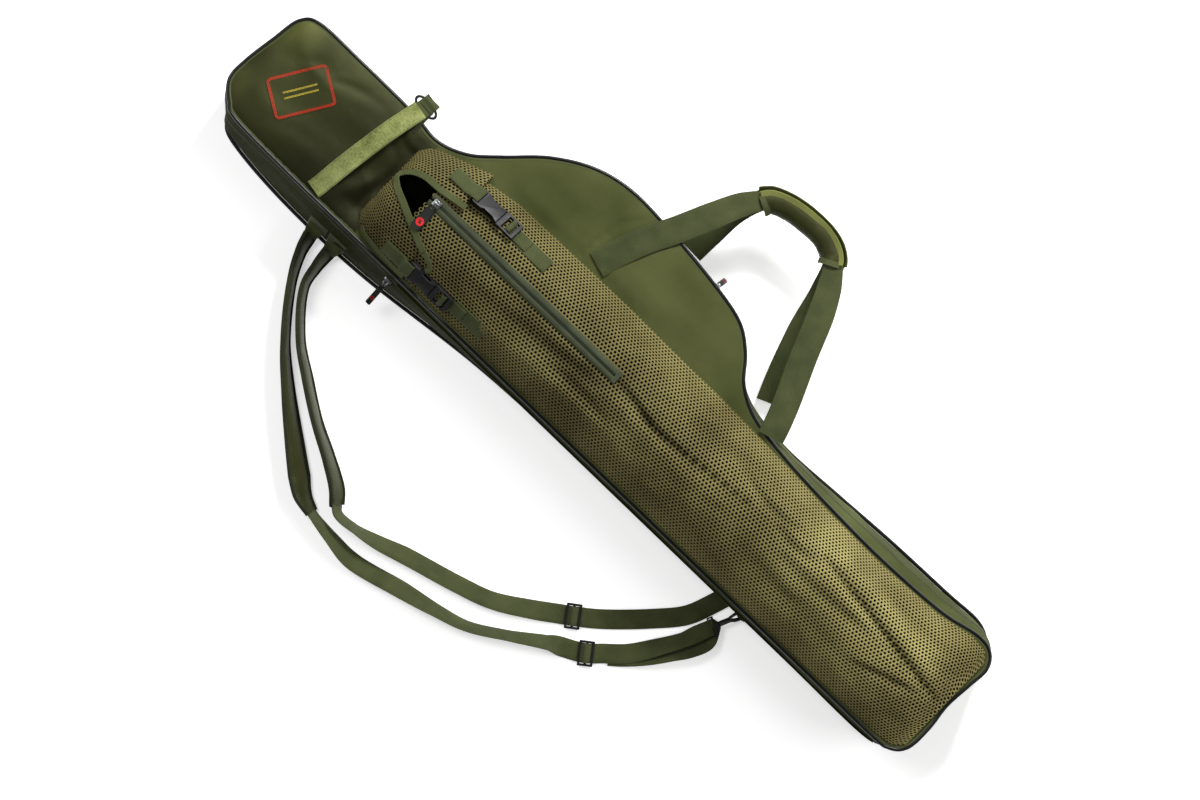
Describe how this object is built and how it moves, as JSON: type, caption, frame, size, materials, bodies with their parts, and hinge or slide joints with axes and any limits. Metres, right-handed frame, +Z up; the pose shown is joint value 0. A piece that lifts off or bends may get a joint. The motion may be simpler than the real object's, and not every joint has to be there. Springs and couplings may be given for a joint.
{
  "type": "fishing rod case",
  "caption": "Soft fishing rod case with a reel pouch, mesh front pocket, buckled hood, zipped lid, carry handle and shoulder straps, lying on its back.",
  "frame": {"origin": "on the ground under the middle of the whole part's box, straps and handle included", "axes": "+X along the case from the head to the tail, +Y to the side with the reel pouch and carry handle, +Z up out of the front; the back panel lies on the ground"},
  "size_m": [1.3232, 0.8114, 0.1683],
  "materials": {
    "canvas": "dark olive woven polyester, soft sheen",
    "lining": "dark lining cloth over foam",
    "piping": "black piping",
    "mesh": "khaki spacer mesh over a dark backing",
    "webbing": "olive woven webbing",
    "velour": "light green velour hook-and-loop strap",
    "tape": "grey-green zip tape",
    "plastic": "black moulded plastic",
    "metal": "dark plated metal"
  },
  "bodies": {
    "case_base": {"back_panel": "canvas", "base_gusset": "canvas", "back_piping": "piping", "base_padding": "lining", "zip_tape_base": "tape", "hinge_fabric": "canvas", "inner_rod_strap_1": "webbing", "inner_rod_strap_2": "webbing", "anchor_patch_inner": "webbing", "anchor_patch_outer": "webbing", "shoulder_pad_inner": "canvas", "shoulder_pad_outer": "canvas", "shoulder_webbing_inner": "webbing", "shoulder_webbing_outer": "webbing", "rear_handle": "webbing", "d_ring": "plastic", "d_ring_tab": "webbing", "snap_hook_eye": "plastic"},
    "case_lid": {"front_panel": "canvas", "lid_gusset": "canvas", "front_piping": "piping", "zip_tape_lid": "tape", "mesh_pocket": "mesh", "pocket_hood": "mesh", "pocket_zip": "tape", "front_handle": "webbing", "handle_grip": "canvas", "rod_strap": "velour", "rod_strap_ring": "plastic", "rod_strap_tab": "webbing", "right_buckle_female": "plastic", "right_buckle_tab": "webbing", "right_buckle_strip": "webbing", "left_buckle_female": "plastic", "left_buckle_tab": "webbing", "left_buckle_strip": "webbing"},
    "snap_hook": {"snap_hook": "plastic"},
    "snap_hook_gate": {"snap_hook_gate": "plastic"},
    "tri_glide_inner": {"tri_glide_inner": "plastic"},
    "tri_glide_outer": {"tri_glide_outer": "plastic"},
    "right_buckle_male": {"right_buckle_male": "plastic", "right_buckle_loop": "webbing"},
    "right_buckle_prong_1": {"right_buckle_prong_1": "plastic"},
    "right_buckle_prong_2": {"right_buckle_prong_2": "plastic"},
    "left_buckle_male": {"left_buckle_male": "plastic", "left_buckle_loop": "webbing"},
    "left_buckle_prong_1": {"left_buckle_prong_1": "plastic"},
    "left_buckle_prong_2": {"left_buckle_prong_2": "plastic"},
    "pocket_slider": {"pocket_slider": "metal"},
    "pocket_pull": {"pocket_pull": "plastic"},
    "main_slider": {"main_slider": "metal"},
    "main_pull": {"main_pull": "plastic"},
    "pouch_slider": {"pouch_slider": "metal"},
    "pouch_pull": {"pouch_pull": "plastic"}
  },
  "joints": [
    {"name": "lid_hinge", "type": "hinge", "parent": "case_base", "child": "case_lid", "pos_m": [0.00275, -0.07217, 0.0797], "axis": [1, 0, 0], "range_deg": [0, 90]},
    {"name": "right_buckle_male_slide", "type": "slide", "parent": "case_lid", "child": "right_buckle_male", "axis": [0.9965, 0, 0.0837], "range_m": [0, 0.028]},
    {"name": "right_prong_1_flex", "type": "hinge", "parent": "right_buckle_male", "child": "right_buckle_prong_1", "pos_m": [-0.25367, 0.09806, 0.1443], "axis": [-0.0713, 0.525, 0.8481], "range_deg": [0, 6], "stiffness_Nm_per_rad": 0.05},
    {"name": "right_prong_2_flex", "type": "hinge", "parent": "right_buckle_male", "child": "right_buckle_prong_2", "pos_m": [-0.25404, 0.09091, 0.14869], "axis": [0.0713, -0.525, -0.8481], "range_deg": [0, 6], "stiffness_Nm_per_rad": 0.05},
    {"name": "left_buckle_male_slide", "type": "slide", "parent": "case_lid", "child": "left_buckle_male", "axis": [0.9999, 0, 0.0172], "range_m": [0, 0.028]},
    {"name": "left_prong_1_flex", "type": "hinge", "parent": "left_buckle_male", "child": "left_buckle_prong_1", "pos_m": [-0.25338, -0.0388, 0.13863], "axis": [-0.0131, -0.6463, 0.763], "range_deg": [0, 6], "stiffness_Nm_per_rad": 0.05},
    {"name": "left_prong_2_flex", "type": "hinge", "parent": "left_buckle_male", "child": "left_buckle_prong_2", "pos_m": [-0.25329, -0.04521, 0.1332], "axis": [0.0131, 0.6463, -0.763], "range_deg": [0, 6], "stiffness_Nm_per_rad": 0.05},
    {"name": "pocket_zip_run", "type": "slide", "parent": "case_lid", "child": "pocket_slider", "axis": [0.9991, 0, 0.0427], "range_m": [0, 0.325]},
    {"name": "pocket_pull_swing", "type": "hinge", "parent": "pocket_slider", "child": "pocket_pull", "pos_m": [-0.3295, 0.04713, 0.15979], "axis": [-0.9991, 0, -0.0427], "range_deg": [0, 50]},
    {"name": "main_zip_run", "type": "slide", "parent": "case_base", "child": "main_slider", "axis": [-1, 0, 0], "range_m": [0, 0.24]},
    {"name": "main_pull_swing", "type": "hinge", "parent": "main_slider", "child": "main_pull", "pos_m": [-0.30925, -0.07897, 0.0736], "axis": [1, 0, 0], "range_deg": [-6, 6]},
    {"name": "pouch_zip_run", "type": "slide", "parent": "case_base", "child": "pouch_slider", "axis": [-0.9859, 0.1676, 0], "range_m": [-0.015, 0.015]},
    {"name": "pouch_pull_swing", "type": "hinge", "parent": "pouch_slider", "child": "pouch_pull", "pos_m": [0.02574, 0.23834, 0.0736], "axis": [0.9859, -0.1676, 0], "range_deg": [0, 25]},
    {"name": "snap_hook_swivel", "type": "hinge", "parent": "case_base", "child": "snap_hook", "pos_m": [0.36505, -0.07867, 0.012], "axis": [0.4067, 0.9135, 0], "range_deg": [0, 8]},
    {"name": "snap_gate_flex", "type": "hinge", "parent": "snap_hook", "child": "snap_hook_gate", "pos_m": [0.35954, -0.0853, 0.01499], "axis": [-0.7199, 0.3205, -0.6157], "range_deg": [0, 14], "stiffness_Nm_per_rad": 0.05},
    {"name": "tri_glide_inner_run", "type": "slide", "parent": "case_base", "child": "tri_glide_inner", "axis": [0.809, 0.5878, 0], "range_m": [-0.012, 0.012]},
    {"name": "tri_glide_outer_run", "type": "slide", "parent": "case_base", "child": "tri_glide_outer", "axis": [0.7986, 0.6018, 0], "range_m": [-0.012, 0.012]}
  ]
}
